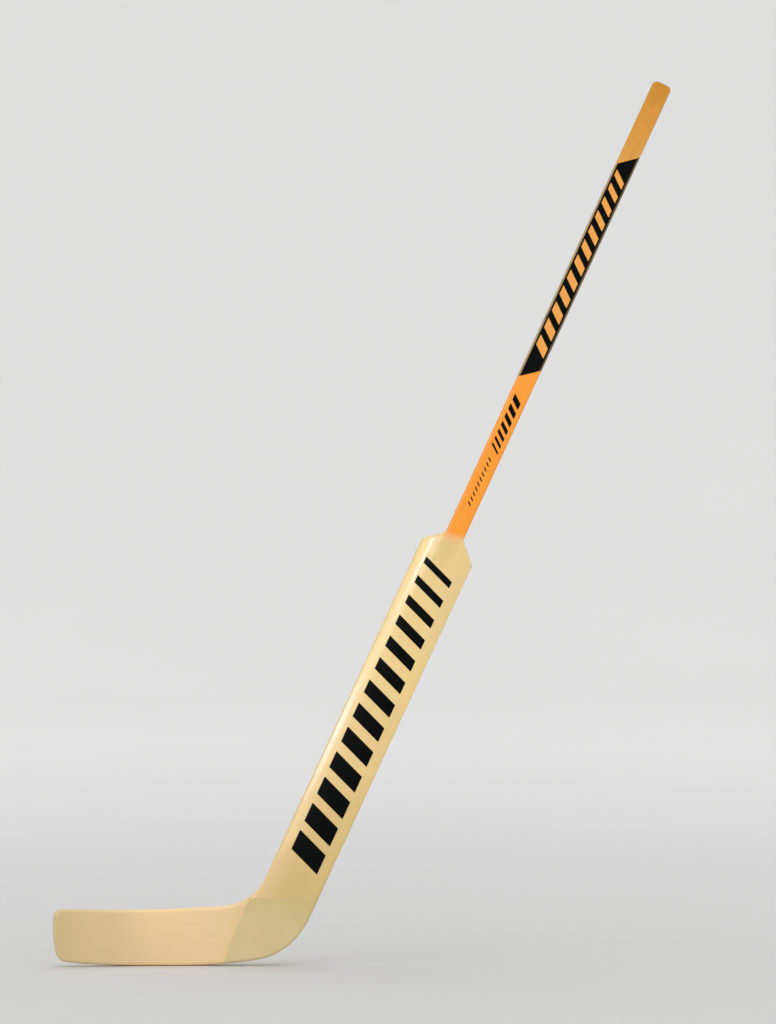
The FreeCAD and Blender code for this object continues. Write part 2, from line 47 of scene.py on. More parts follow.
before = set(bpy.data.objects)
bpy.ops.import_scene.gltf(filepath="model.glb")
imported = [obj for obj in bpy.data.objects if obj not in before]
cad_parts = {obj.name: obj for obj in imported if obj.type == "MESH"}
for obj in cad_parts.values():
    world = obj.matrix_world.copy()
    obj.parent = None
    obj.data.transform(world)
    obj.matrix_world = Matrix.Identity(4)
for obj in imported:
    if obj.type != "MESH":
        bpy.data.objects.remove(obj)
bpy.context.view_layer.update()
scene = bpy.context.scene

# ------------------------------------------------------------------ dimensions
LEAN = math.radians(24.78)
SIN, COS = math.sin(LEAN), math.cos(LEAN)
FOOT = 143.29
HALF = 44.45  # half the paddle's width
NECK_T, NECK_W = 735.8, 15.25
BUTT_T, BUTT_R = 1510.2, 8.0
SHOULDER_TOE, SHOULDER_HEEL = 712.5, 705.5
THROAT_T, HEEL_T = 129.99317114, 102.411754512
THICK = 10.0  # half the thickness of shaft and paddle
SKIN = 0.6
CURVE_X, CURVE_F, CURVE_B = 90.0, 1990.0, 1387.0
EDGE_R, RAIL_R, NECK_R = 5.0, 3.0, 3.5
BEVEL_TOP, BEVEL_LOW, BEVEL_S = 15.0, 4.4, 0.235
FOOT_TOE, FOOT_HEEL = 400.0, 393.0  # where the paddle's bevels start
ROLL_W, ROLL_S = 10.0, 0.112  # the soft roll of the edges below the bevels
CROWN = 1.5
NECK_RUN = 4.0  # the soft corner between shoulder and shaft
SLEEVE_T = NECK_T + NECK_RUN


def lean(w, t):
    return (FOOT + w * COS + t * SIN, t * COS - w * SIN)


def unlean(x, z):
    return ((x - FOOT) * COS - z * SIN, (x - FOOT) * SIN + z * COS)


def smooth(a, b, v):
    u = min(max((v - a) / (b - a), 0.0), 1.0)
    return u * u * (3 - 2 * u)


# ------------------------------------------------------------------ faces
def face_y(x, side):
    """Front (-1) or back (+1) face, before bevels."""
    radius = CURVE_F if side < 0 else CURVE_B
    run = CURVE_X - x
    bend = 0.0 if run <= 0 else math.sqrt(radius * radius - run * run) - radius
    return side * THICK + bend


def bevel_width(t, low, high):
    return BEVEL_LOW + (BEVEL_TOP - BEVEL_LOW) * max(0.0, (t - low) / (high - low))


def rolled(u, soft):
    """A slope of 1 from u = 0 on, rolled in over soft before and after."""
    if u > soft:
        return u
    return (u + soft) ** 2 / (4 * soft) if u > -soft else 0.0


def fall(x, z):
    """How far bevels and crown take the paddle's face down, at a place. The bevels
    are rolled into the face, with no sharp ridge, and run out in a softer roll."""
    w, t = unlean(x, z)
    total = 0.0
    for sign, low, high in ((-1, FOOT_TOE, SHOULDER_TOE), (1, FOOT_HEEL, SHOULDER_HEEL)):
        fade = smooth(low - 230, low - 60, t)
        if fade <= 0.0:
            continue
        d = HALF - sign * w
        wide = bevel_width(t, low, high)
        much = smooth(low + 40, low + 160, t)
        total += (1 - much) * fade * ROLL_S * rolled(BEVEL_LOW - d, ROLL_W)
        total += much * BEVEL_S * rolled(wide - d, wide * 0.95)
    total += CROWN * (w / HALF) ** 2 * smooth(100, 220, t)
    return total


def surface(x, z, side):
    return face_y(x, side) - side * fall(x, z)


def surface_normal(x, z, side):
    e = 0.05
    gx = (surface(x + e, z, side) - surface(x - e, z, side)) / (2 * e)
    gz = (surface(x, z + e, side) - surface(x, z - e, side)) / (2 * e)
    return Vector((-side * gx, side, -side * gz)).normalized()


# ------------------------------------------------------------------ outline
class Run:
    """A line, or an arc with a signed radius: positive where it turns left."""

    def __init__(self, a, b, radius=None):
        self.a, self.b, self.radius = Vector(a), Vector(b), radius
        if radius is None:
            self.length = (self.b - self.a).length
            return
        half = (self.b - self.a) * 0.5
        rise = math.sqrt(max(radius * radius - half.length_squared, 0.0))
        left = Vector((-half.y, half.x)).normalized()
        self.mid = self.a + half + left * math.copysign(rise, radius)
        arm = self.a - self.mid
        self.start = math.atan2(arm.y, arm.x)
        turn = 2 * math.asin(min(1.0, half.length / abs(radius)))
        self.turn = math.copysign(turn, radius)
        self.length = abs(radius) * turn

    def at(self, u):
        """Place and inward normal; the inside is on the right."""
        if self.radius is None:
            way = (self.b - self.a).normalized()
            p = self.a.lerp(self.b, u)
        else:
            angle = self.start + self.turn * u
            arm = Vector((math.cos(angle), math.sin(angle)))
            p = self.mid + arm * abs(self.radius)
            way = Vector((-arm.y, arm.x)) * math.copysign(1.0, self.radius)
        return p, Vector((way.y, -way.x))


def soft_corner(before, at, after, tangent=None, radius=None):
    """Tangent points and signed radius of a rounding at a corner of two lines."""
    before, at, after = Vector(before), Vector(at), Vector(after)
    come, go = (at - before).normalized(), (after - at).normalized()
    turn = math.acos(max(-1.0, min(1.0, come.dot(go))))
    side = math.copysign(1.0, come.x * go.y - come.y * go.x)
    if tangent is None:
        tangent = radius * math.tan(turn / 2)
    else:
        radius = tangent / math.tan(turn / 2)
    return at - come * tangent, at + go * tangent, side * radius


P6 = (93.670345985, 92.538524202)
P7 = lean(-HALF, THROAT_T)
P12 = lean(HALF, HEEL_T)
heel_corner = lean(HALF, SHOULDER_HEEL)
toe_corner = lean(-HALF, SHOULDER_TOE)
neck_h, neck_t = lean(NECK_W, NECK_T), lean(-NECK_W, NECK_T)
up_h, up_t = lean(NECK_W, NECK_T + 40), lean(-NECK_W, NECK_T + 40)
nh = soft_corner(up_h, neck_h, heel_corner, tangent=NECK_RUN)
hc = soft_corner(neck_h, heel_corner, P12, radius=8.0)
tc = soft_corner(P7, toe_corner, neck_t, radius=8.0)
nt = soft_corner(toe_corner, neck_t, up_t, tangent=NECK_RUN)

RUNS = [
    ("neck_heel", Run(nh[0], nh[1], nh[2])),
    ("shoulder_heel", Run(nh[1], hc[0])),
    ("corner_heel", Run(hc[0], hc[1], hc[2])),
    ("rail_heel", Run(hc[1], P12)),
    ("heel_high", Run(P12, (199.424173065, 36.066552629), -128.047155774)),
    ("heel_low", Run((199.424173065, 36.066552629), (143.517627748, 8.435816938), -102.0)),
    ("sole_heel", Run((143.517627748, 8.435816938), (30.0, 0.0), -768.0)),
    ("sole_flat", Run((30.0, 0.0), (-30.0, 0.0))),
    ("sole_toe", Run((-30.0, 0.0), (-150.07840061, 6.398123129), -1130.0)),
    ("toe_low", Run((-150.07840061, 6.398123129), (-167.849897798, 22.371591342), -20.4)),
    ("toe_face", Run((-167.849897798, 22.371591342), (-170.967367194, 78.131616557), -178.5)),
    ("toe_high", Run((-170.967367194, 78.131616557), (-157.9425277, 89.354536279), -12.5)),
    ("top", Run((-157.9425277, 89.354536279), P6, 2106.0)),
    ("throat", Run(P6, P7, 76.293092924)),
    ("rail_toe", Run(P7, tc[0])),
    ("corner_toe", Run(tc[0], tc[1], tc[2])),
    ("shoulder_toe", Run(tc[1], nt[0])),
    ("neck_toe", Run(nt[0], nt[1], nt[2])),
]
BREAKS = [  # where one edge piece ends and the next begins
    ("corner_heel", "mitre_heel", None),
    ("sole_heel", "sole_cut", lambda p: p.x - 100.0),
    ("toe_low", "toe_cut_low", lambda p: p.x + 154.0),
    ("top", "toe_cut_high", lambda p: p.x + 154.0),
    ("corner_toe", "mitre_toe", None),
]


class Station:
    """A place on the outline with its edge section, front and back."""

    def __init__(self, run, u, name):
        self.run, self.u, self.name = run, u, name
        self.p, self.n = RUNS[run][1].at(u)
        word = RUNS[run][0]
        self.r = EDGE_R
        if word.startswith("neck"):
            self.r = NECK_R
        elif word == "shoulder_heel":
            self.r = NECK_R + (RAIL_R - NECK_R) * u
        elif word == "shoulder_toe":
            self.r = RAIL_R + (NECK_R - RAIL_R) * u
        elif word.startswith("corner"):
            self.r = RAIL_R
        elif word.startswith("rail"):
            self.r = EDGE_R + (RAIL_R - EDGE_R) * smooth(150, 290, unlean(*self.p)[1])
        self.tilt, self.deep = {}, {}
        for side in (-1, 1):
            q, e = self.p + self.n * self.r, 0.1
            one, two = q + self.n * e, q - self.n * e
            rise = (surface(one.x, one.y, side) - surface(two.x, two.y, side)) / (2 * e)
            self.tilt[side] = math.atan(side * rise)
            self.deep[side] = surface(q.x, q.y, side) - side * self.r / math.cos(self.tilt[side])

    def point(self, side, angle):
        """On the rounding, where the normal is turned by angle from the face."""
        d = self.r * (1 - math.sin(angle))
        q = self.p + self.n * d
        return Vector((q.x, self.deep[side] + side * self.r * math.cos(angle), q.y))

    def inside(self, d):
        return self.p + self.n * d


stations, mark = [], {}
for i, (word, run) in enumerate(RUNS):
    count = max(2, math.ceil(run.length / (6.0 if run.radius is None else 4.0)))
    if run.radius is not None:
        count = max(count, math.ceil(abs(math.degrees(run.turn)) / 5.0))
    us = {k / count: None for k in range(count)}
    for where, name, test in BREAKS:
        if where != word:
            continue
        if test is None:
            u = 0.5
        else:
            lo, hi = 0.0, 1.0
            for _ in range(60):
                u = (lo + hi) / 2
                if (test(run.at(lo)[0]) < 0) == (test(run.at(u)[0]) < 0):
                    lo = u
                else:
                    hi = u
        for other in [v for v in us if v > 0 and abs(v - u) * run.length < 1.2]:
            del us[other]
        us[u] = name
    for u in sorted(us):
        name = us[u] or (word if u == 0 else None)
        if name:
            mark[name] = len(stations)
        stations.append(Station(i, u, name))
mark["end"] = len(stations)
stations.append(Station(len(RUNS) - 1, 1.0, "end"))


def station_way(i):
    """Direction along the edge at the middle of its wall, for shading normals."""
    a, b = stations[max(i - 1, 0)], stations[min(i + 1, len(stations) - 1)]
    out = Vector((b.p.x - a.p.x, 0.0, b.p.y - a.p.y))
    out.y = sum(b.deep[s] - a.deep[s] for s in (-1, 1)) / 2
    return out.normalized()


def edge_normal(i, side, angle):
    st = stations[i]
    n = Vector((-st.n.x * math.sin(angle), side * math.cos(angle), -st.n.y * math.sin(angle)))
    way = station_way(i)
    return (n - way * n.dot(way)).normalized()


# ------------------------------------------------------------------ mesh helpers
COLLECTION = bpy.context.scene.collection


def put(name, verts, faces, normals=None, mat=None, slot=None, replaces=()):
    """A piece of the stick from points in millimetres."""
    mesh = bpy.data.meshes.new(name)
    mesh.from_pydata([tuple(c * 0.001 for c in v) for v in verts], [], faces)
    mesh.validate()
    bm = bmesh.new()
    bm.from_mesh(mesh)
    bmesh.ops.recalc_face_normals(bm, faces=bm.faces[:])
    bm.to_mesh(mesh)
    bm.free()
    mesh.polygons.foreach_set("use_smooth", [True] * len(mesh.polygons))
    if normals is not None:
        # a corner takes its vertex's normal, unless its face lies across it, as on a rim
        corner = [None] * len(mesh.loops)
        for face in mesh.polygons:
            for k in face.loop_indices:
                n = normals[mesh.loops[k].vertex_index]
                corner[k] = tuple(n if n.dot(face.normal) > 0.55 else face.normal)
        mesh.normals_split_custom_set(corner)
    mesh.update()
    obj = bpy.data.objects.new(name, mesh)
    COLLECTION.objects.link(obj)
    if mat is not None:
        mesh.materials.append(mat)
    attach(obj, "root")
    for n in replaces:
        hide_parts(n)
    return obj


class Sheet:
    """An open surface with shading normals, which can be cut, moved and thickened."""

    def __init__(self):
        self.bm = bmesh.new()
        self.nrm = self.bm.verts.layers.float_vector.new("nrm")
        self.turn = self.bm.verts.layers.float.new("turn")

    def copy(self):
        other = Sheet.__new__(Sheet)
        other.bm = self.bm.copy()
        other.nrm = other.bm.verts.layers.float_vector["nrm"]
        other.turn = other.bm.verts.layers.float["turn"]
        return other

    def keep_turn(self, most):
        gone = [v for v in self.bm.verts if v[self.turn] > most]
        bmesh.ops.delete(self.bm, geom=gone, context="VERTS")
        return self

    def keep(self, point, way):
        """Keeps what lies on the side of a cut that way points to; both are X, Z."""
        geom = self.bm.verts[:] + self.bm.edges[:] + self.bm.faces[:]
        bmesh.ops.bisect_plane(
            self.bm,
            geom=geom,
            dist=1e-4,
            plane_co=(point[0], 0, point[1]),
            plane_no=(way[0], 0, way[1]),
            clear_inner=True,
        )
        bmesh.ops.remove_doubles(self.bm, verts=self.bm.verts[:], dist=0.02)
        return self

    def solid(self, lift, deep):
        """Closes the surface: moved out by lift and thickened inwards by deep."""
        bm = self.bm
        bm.verts.ensure_lookup_table()
        bm.verts.index_update()
        verts, normals, under = [], [], {}
        for v in bm.verts:
            n = Vector(v[self.nrm]).normalized()
            verts.append(v.co + n * (lift(v) if callable(lift) else lift))
            normals.append(n)
        for v in bm.verts:
            n = normals[v.index]
            down = deep(v) if callable(deep) else deep
            if down <= 1e-6:
                under[v.index] = v.index
                continue
            under[v.index] = len(verts)
            verts.append(verts[v.index] - n * down)
            normals.append(-n)
        faces = []
        for f in bm.faces:
            loop = [v.index for v in f.verts]
            faces.append(loop)
            back = []
            for k in reversed([under[k] for k in loop]):
                if k not in back:
                    back.append(k)
            if len(back) > 2 and set(back) != set(loop):
                faces.append(back)
        for e in bm.edges:
            if len(e.link_faces) == 1:
                a, b = (v.index for v in e.verts)
                loop = [a, b, under[b], under[a]]
                loop = [k for j, k in enumerate(loop) if k not in loop[:j]]
                if len(loop) > 2:
                    faces.append(loop)
        return verts, faces, normals

    def piece(self, name, lift, deep, **kw):
        verts, faces, normals = self.solid(lift, deep)
        return put(name, verts, faces, normals, **kw)


# ------------------------------------------------------------------ face sheets
TURNS = [math.radians(a) for a in (74, 62, 50, 39, 28, 21, 14, 7, 0)]
FEATHER = math.radians(28)  # where the skin runs out on the rounded edge


def near_line(p, ring, least):
    for a, b in zip(ring, ring[1:] + ring[:1]):
        ab = b - a
        k = max(0.0, min(1.0, (p - a).dot(ab) / max(ab.length_squared, 1e-9)))
        if (a + ab * k - p).length < least:
            return True
    return False


def inside_ring(p, ring):
    hit = False
    for a, b in zip(ring, ring[1:] + ring[:1]):
        if (a.y > p.y) != (b.y > p.y):
            if p.x < (b.x - a.x) * (p.y - a.y) / (b.y - a.y) + a.x:
                hit = not hit
    return hit


def face_sheet(side):
    sheet = Sheet()
    bm = sheet.bm
    grid = []
    for i, st in enumerate(stations):
        row = []
        for add in TURNS:
            angle = min(st.tilt[side] + add, math.radians(88))
            v = bm.verts.new(st.point(side, angle))
            v[sheet.nrm] = edge_normal(i, side, angle)
            v[sheet.turn] = add
            row.append(v)
        grid.append(row)
    for a, b in zip(grid, grid[1:]):
        for k in range(len(TURNS) - 1):
            bm.faces.new((a[k], b[k], b[k + 1], a[k + 1]))
    inner = [row[-1] for row in grid]
    for st, v in zip(stations, inner):
        v[sheet.nrm] = surface_normal(v.co.x, v.co.z, side)
    ring = [Vector((v.co.x, v.co.z)) for v in inner]
    # points on the face: close together across the ridges, wider elsewhere
    wanted = []
    t = -18.0
    while t < SLEEVE_T - 2.0:
        cols = [-10.0, -5.0, 0.0, 5.0, 10.0]
        for k in range(11):
            cols += [-14.0 - 2.6 * k, 14.0 + 2.6 * k]
        for w in sorted(cols):
            wanted.append(lean(w, t))
        t += 6.0
    x = -166.0
    while x < 150.0:
        for k in range(0, 13):
            z = 6.0 + 8.0 * k
            if unlean(x, z)[0] < -47.0:
                wanted.append((x, z))
        x += 5.0
    cells, points = {}, []
    for x, z in wanted:
        p = Vector((x, z))
        key = (round(x / 1.1), round(z / 1.1))
        if key in cells or not inside_ring(p, ring) or near_line(p, ring, 1.0):
            continue
        cells[key] = True
        points.append(p)
    out = delaunay_2d_cdt(ring + points, [], [list(range(len(ring)))], 1, 1e-5)
    made = []
    for p, origin in zip(out[0], out[3]):
        known = [k for k in origin if k < len(ring)]
        if known:
            made.append(inner[known[0]])
            continue
        v = bm.verts.new((p.x, surface(p.x, p.y, side), p.y))
        v[sheet.nrm] = surface_normal(p.x, p.y, side)
        made.append(v)
    for f in out[2]:
        bm.faces.new([made[k] for k in f])
    return sheet


# ------------------------------------------------------------------ materials
def srgb(r, g, b):
    def one(c):
        c /= 255.0
        return c / 12.92 if c <= 0.04045 else ((c + 0.055) / 1.055) ** 2.4

    return (one(r), one(g), one(b), 1.0)


class Look:
    """Builds a node material around one Principled shader."""

    def __init__(self, name, **sockets):
        self.mat = bpy.data.materials.new(name)
        self.mat.use_nodes = True
        self.tree = self.mat.node_tree
        self.tree.nodes.clear()
        out = self.tree.nodes.new("ShaderNodeOutputMaterial")
        self.bsdf = self.tree.nodes.new("ShaderNodeBsdfPrincipled")
        self.tree.links.new(self.bsdf.outputs[0], out.inputs[0])
        for key, value in sockets.items():
            self.bsdf.inputs[key.replace("_", " ")].default_value = value
        self.place = self.tree.nodes.new("ShaderNodeTexCoord").outputs["Object"]

    def link(self, a, b):
        self.tree.links.new(a, b)

    def drive(self, key, what):
        self.link(what, self.bsdf.inputs[key])

    def math(self, op, a, b=None, clamp=False):
        n = self.tree.nodes.new("ShaderNodeMath")
        n.operation, n.use_clamp = op, clamp
        for k, v in enumerate((a, b)):
            if v is None:
                continue
            if isinstance(v, (int, float)):
                n.inputs[k].default_value = v
            else:
                self.link(v, n.inputs[k])
        return n.outputs[0]

    def along(self, way, offset=0.0):
        """Distance along a direction, in metres."""
        n = self.tree.nodes.new("ShaderNodeVectorMath")
        n.operation = "DOT_PRODUCT"
        self.link(self.place, n.inputs[0])
        n.inputs[1].default_value = way
        return self.math("ADD", n.outputs["Value"], offset)

    def t(self):
        return self.along((SIN, 0, COS), -FOOT * 0.001 * SIN)

    def w(self):
        return self.along((COS, 0, -SIN), -FOOT * 0.001 * COS)

    def span(self, what, a, b, smoothed=True):
        n = self.tree.nodes.new("ShaderNodeMapRange")
        n.interpolation_type = "SMOOTHSTEP" if smoothed else "LINEAR"
        n.clamp = True
        self.link(what, n.inputs["Value"])
        n.inputs["From Min"].default_value = a
        n.inputs["From Max"].default_value = b
        return n.outputs["Result"]

    def mapped(self, scale, turn=0.0):
        """Coordinates turned about Y, so that Z runs along the lean, then scaled."""
        n = self.tree.nodes.new("ShaderNodeMapping")
        n.vector_type = "TEXTURE"
        n.inputs["Rotation"].default_value = (0, turn, 0)
        n.inputs["Scale"].default_value = tuple(1.0 / c for c in scale)
        self.link(self.place, n.inputs["Vector"])
        return n.outputs[0]

    def noise(self, scale, detail=3.0, rough=0.55, vector=None, distort=0.0):
        n = self.tree.nodes.new("ShaderNodeTexNoise")
        n.inputs["Scale"].default_value = scale
        n.inputs["Detail"].default_value = detail
        n.inputs["Roughness"].default_value = rough
        n.inputs["Distortion"].default_value = distort
        self.link(vector if vector is not None else self.place, n.inputs["Vector"])
        return n.outputs["Fac"]

    def wave(self, scale, axis, vector=None, distort=0.0):
        n = self.tree.nodes.new("ShaderNodeTexWave")
        n.bands_direction = axis
        n.inputs["Scale"].default_value = scale
        n.inputs["Distortion"].default_value = distort
        n.inputs["Detail"].default_value = 1.0
        self.link(vector if vector is not None else self.place, n.inputs["Vector"])
        return n.outputs["Fac"]

    def ramp(self, what, stops, ease="EASE"):
        n = self.tree.nodes.new("ShaderNodeValToRGB")
        n.color_ramp.interpolation = ease
        el = n.color_ramp.elements
        while len(el) < len(stops):
            el.new(0.5)
        for e, (pos, col) in zip(el, stops):
            e.position = pos
            e.color = col if len(col) == 4 else (*col, 1.0)
        self.link(what, n.inputs["Fac"])
        return n.outputs["Color"]

    def mix(self, fac, a, b, kind="MIX"):
        n = self.tree.nodes.new("ShaderNodeMix")
        n.data_type, n.blend_type, n.clamp_factor = "RGBA", kind, True
        for sock, v in ((n.inputs[0], fac), (n.inputs[6], a), (n.inputs[7], b)):
            if isinstance(v, (int, float)):
                sock.default_value = v
            elif isinstance(v, tuple):
                sock.default_value = v
            else:
                self.link(v, sock)
        return n.outputs[2]

    def bump(self, height, strength, distance):
        n = self.tree.nodes.new("ShaderNodeBump")
        n.inputs["Strength"].default_value = strength
        n.inputs["Distance"].default_value = distance
        self.link(height, n.inputs["Height"])
        self.drive("Normal", n.outputs[0])


def laminate_colour(look):
    """Cream of the laminate: warmer up the paddle, darker at the toe, partly the laminate's own tone and partly painted
    shade.
    """
    t, w, x = look.t(), look.w(), look.along((1, 0, 0))
    paddle = look.ramp(
        look.span(t, 0.10, 0.75, False),
        [
            (0.0, srgb(214, 184, 114)),
            (0.22, srgb(224, 192, 122)),
            (0.42, srgb(237, 203, 135)),
            (0.68, srgb(243, 211, 139)),
            (1.0, srgb(236, 204, 134)),
        ],
    )
    # painted light: the lower paddle is paler on the toe side, where the key light falls from the left
    painted_light_left = look.math("MULTIPLY", look.span(w, -0.008, -0.038), look.span(t, 0.36, 0.20))
    paddle = look.mix(look.math("MULTIPLY", painted_light_left, 0.55), paddle, srgb(240, 202, 146))
    # small painted shifts of tint where the highlight along the toe-side edge and the light on the heel side fall:
    # across, up the paddle, how much of each channel
    for across, up, painted_tint in (
        ((-0.022, -0.033), ((0.145, 0.185), (0.42, 0.31)), (1.015, 0.965, 0.84, 1)),
        ((-0.031, -0.037), ((0.46, 0.53),), (1.0, 0.995, 0.89, 1)),
        ((-0.026, -0.034), ((0.645, 0.70),), (1.02, 1.09, 1.0, 1)),
        ((0.012, 0.026), ((0.52, 0.58), (0.70, 0.66)), (0.99, 1.0, 1.10, 1)),
    ):
        much = look.span(w, *across)
        for ends in up:
            much = look.math("MULTIPLY", much, look.span(t, *ends))
        paddle = look.mix(much, paddle, painted_tint, "MULTIPLY")
    # darker towards the toe: partly the laminate's own tone, partly painted shade of the toe turning from the light
    blade = look.ramp(
        look.span(x, -0.172, 0.13, False),
        [
            (0.0, srgb(208, 184, 132)),
            (0.28, srgb(222, 193, 140)),
            (0.55, srgb(245, 207, 152)),
            (0.8, srgb(240, 206, 154)),
            (1.0, srgb(234, 201, 146)),
        ],
    )
    # painted shade: the blade is darker towards its bottom, more so towards the toe
    low = look.math("MULTIPLY", look.span(look.along((0, 0, 1)), 0.075, 0.015), look.span(x, 0.08, -0.02))
    blade = look.mix(look.math("MULTIPLY", low, 0.35), blade, srgb(214, 190, 142))
    return look.mix(look.span(w, -0.075, -0.02), blade, paddle)


def make_laminate():
    look = Look(
        "laminate",
        Roughness=0.42,
        Coat_Weight=1.0,
        Coat_Roughness=0.12,
        Coat_IOR=1.5,
        Specular_IOR_Level=0.3,
    )
    col = laminate_colour(look)
    t, w = look.t(), look.w()
    cloudy = look.noise(9.0, 3.0, 0.5)
    col = look.mix(look.span(cloudy, 0.3, 0.72), look.mix(1.0, col, (0.955, 0.955, 0.94, 1), "MULTIPLY"), col)
    up_paddle = look.span(w, -0.062, -0.030)
    fibre_p = look.span(look.noise(1.0, 4.0, 0.6, look.mapped((170.0, 170.0, 14.0), LEAN)), 0.52, 0.75)
    fibre_b = look.span(look.noise(1.0, 4.0, 0.6, look.mapped((12.0, 150.0, 150.0))), 0.52, 0.75)
    fibre = look.math(
        "ADD",
        look.math("MULTIPLY", fibre_p, up_paddle),
        look.math("MULTIPLY", fibre_b, look.math("SUBTRACT", 1.0, up_paddle)),
    )
    col = look.mix(look.math("MULTIPLY", fibre, 0.14), col, srgb(206, 170, 112))
    weave_a = look.wave(210.0, "X", look.mapped((1, 1, 1), LEAN + 0.785))
    weave_b = look.wave(210.0, "Z", look.mapped((1, 1, 1), LEAN + 0.785))
    weave = look.math("MULTIPLY", weave_a, weave_b)
    col = look.mix(look.math("MULTIPLY", weave, 0.06), col, srgb(250, 232, 190))
    # the shaft's paint fades out over the paddle's top, with a tan shade below it
    wide = look.math("ABSOLUTE", look.math("ADD", w, 0.002))
    shade = look.math("MULTIPLY", look.span(t, 0.655, 0.722), look.span(wide, 0.020, 0.003))
    col = look.mix(look.math("MULTIPLY", shade, 0.42), col, srgb(216, 176, 108))
    slant = look.math("SUBTRACT", t, look.math("MULTIPLY", w, 0.2))
    near = look.span(look.math("ABSOLUTE", w), 0.0215, 0.0155)
    mist = look.math("MULTIPLY", look.span(slant, 0.716, 0.736), near)
    col = look.mix(look.math("MULTIPLY", mist, 0.4), col, srgb(252, 184, 116))
    paint = look.math("MULTIPLY", look.span(slant, 0.7275, 0.7435), look.span(look.math("ABSOLUTE", w), 0.0185, 0.0155))
    col = look.mix(paint, col, srgb(254, 152, 40))
    look.drive("Base Color", col)
    height = look.math("ADD", look.math("MULTIPLY", weave, 0.5), look.noise(55.0, 3.0, 0.5))
    look.bump(height, 0.05, 0.0006)
    return look.mat


def make_cloth():
    look = Look(
        "heel_cloth",
        Roughness=0.4,
        Coat_Weight=1.0,
        Coat_Roughness=0.16,
        Coat_IOR=1.5,
        Specular_IOR_Level=0.3,
    )
    col = look.ramp(
        look.span(look.along((0.18, 0, 1.0)), 0.0, 0.14, False),
        [(0.0, srgb(215, 193, 146)), (0.5, srgb(214, 192, 140)), (1.0, srgb(208, 186, 121))],
    )
    cloudy = look.noise(24.0, 3.0, 0.55)
    col = look.mix(look.span(cloudy, 0.35, 0.7), look.mix(1.0, col, (0.95, 0.955, 0.92, 1), "MULTIPLY"), col)
    weave_a = look.wave(150.0, "X", look.mapped((1, 1, 1), LEAN))
    weave_b = look.wave(150.0, "Z", look.mapped((1, 1, 1), LEAN))
    weave = look.math("MULTIPLY", weave_a, weave_b)
    col = look.mix(look.math("MULTIPLY", weave, 0.14), col, srgb(232, 220, 176))
    look.drive("Base Color", col)
    height = look.math("ADD", look.math("MULTIPLY", weave, 0.8), look.noise(60.0, 3.0, 0.5))
    look.bump(height, 0.08, 0.0006)
    return look.mat


def make_paint():
    look = Look(
        "shaft_paint",
        Roughness=0.4,
        Coat_Weight=1.0,
        Coat_Roughness=0.1,
        Coat_IOR=1.5,
        Specular_IOR_Level=0.08,
    )
    t, w = look.t(), look.w()
    # darker and browner towards the butt: partly the paint's own tone, partly painted shade of the light falling off
    # towards the stick's end
    col = look.ramp(
        look.span(t, 0.735, 1.51, False),
        [
            (0.0, srgb(255, 153, 26)),
            (0.3, srgb(255, 156, 36)),
            (0.55, srgb(244, 158, 56)),
            (0.82, srgb(222, 156, 66)),
            (0.93, srgb(212, 145, 40)),
            (1.0, srgb(202, 136, 16)),
        ],
    )
    grain = look.noise(1.0, 4.0, 0.6, look.mapped((260.0, 260.0, 6.0), LEAN))
    amount = look.math("MULTIPLY", look.span(grain, 0.48, 0.72), look.span(t, 1.0, 1.45))
    col = look.mix(look.math("MULTIPLY", amount, 0.35), col, srgb(184, 116, 44))
    cloudy = look.noise(30.0, 3.0, 0.55)
    col = look.mix(look.math("MULTIPLY", look.span(cloudy, 0.45, 0.75), 0.25), col, srgb(255, 168, 56))
    slant = look.math("SUBTRACT", t, look.math("MULTIPLY", w, 0.2))
    bare = look.span(slant, 0.7435, 0.7275)
    col = look.mix(bare, col, srgb(240, 200, 134))
    look.drive("Base Color", col)
    look.bump(look.noise(140.0, 2.0, 0.5), 0.04, 0.0004)
    return look.mat


def make_ink(name, colour, other, coat, painted_corner_highlight=None):
    look = Look(
        name,
        Roughness=0.45,
        Coat_Weight=coat,
        Coat_Roughness=0.14,
        Coat_IOR=1.5,
        Specular_IOR_Level=0.02,
    )
    thin = look.noise(1.0, 3.0, 0.6, look.mapped((240.0, 240.0, 60.0), LEAN))
    col = look.mix(look.span(thin, 0.45, 0.8), colour, other)
    if painted_corner_highlight:
        # painted highlight along the shaft's rounded corners, stronger on the toe side, where the key light falls
        w = look.w()
        deep = look.math("ABSOLUTE", look.along((0, 1, 0)))
        edge = look.math(
            "MULTIPLY",
            look.span(look.math("ABSOLUTE", w), 0.0117, 0.0137),
            look.span(deep, 0.0056, 0.0072),
        )
        side = look.span(w, 0.008, -0.008, False)
        much = look.math("ADD", 0.40, look.math("MULTIPLY", side, 0.60))
        rub = look.span(look.noise(1.0, 4.0, 0.65, look.mapped((90.0, 90.0, 16.0), LEAN)), 0.1, 0.48)
        col = look.mix(look.math("MULTIPLY", look.math("MULTIPLY", edge, much), rub), col, painted_corner_highlight)
    look.drive("Base Color", col)
    look.bump(look.noise(120.0, 2.0, 0.5), 0.03, 0.0004)
    return look.mat


def make_wood(name, light, dark, turn, scale=(420.0, 420.0, 9.0)):
    """Sawn straight-grained wood; the grain runs along Z turned by turn."""
    look = Look(name, Roughness=0.55, Specular_IOR_Level=0.3)
    grain = look.noise(1.0, 5.0, 0.62, look.mapped(scale, turn), 0.4)
    pores = look.noise(1.0, 2.0, 0.5, look.mapped(tuple(c * 3.2 for c in scale), turn))
    col = look.mix(look.span(grain, 0.34, 0.7), light, dark)
    col = look.mix(look.math("MULTIPLY", look.span(pores, 0.62, 0.75), 0.3), col, dark)
    cloudy = look.noise(14.0, 2.0, 0.5)
    col = look.mix(look.math("MULTIPLY", look.span(cloudy, 0.4, 0.7), 0.25), col, light)
    look.drive("Base Color", col)
    look.bump(look.math("ADD", grain, look.math("MULTIPLY", pores, 0.4)), 0.1, 0.0005)
    return look.mat


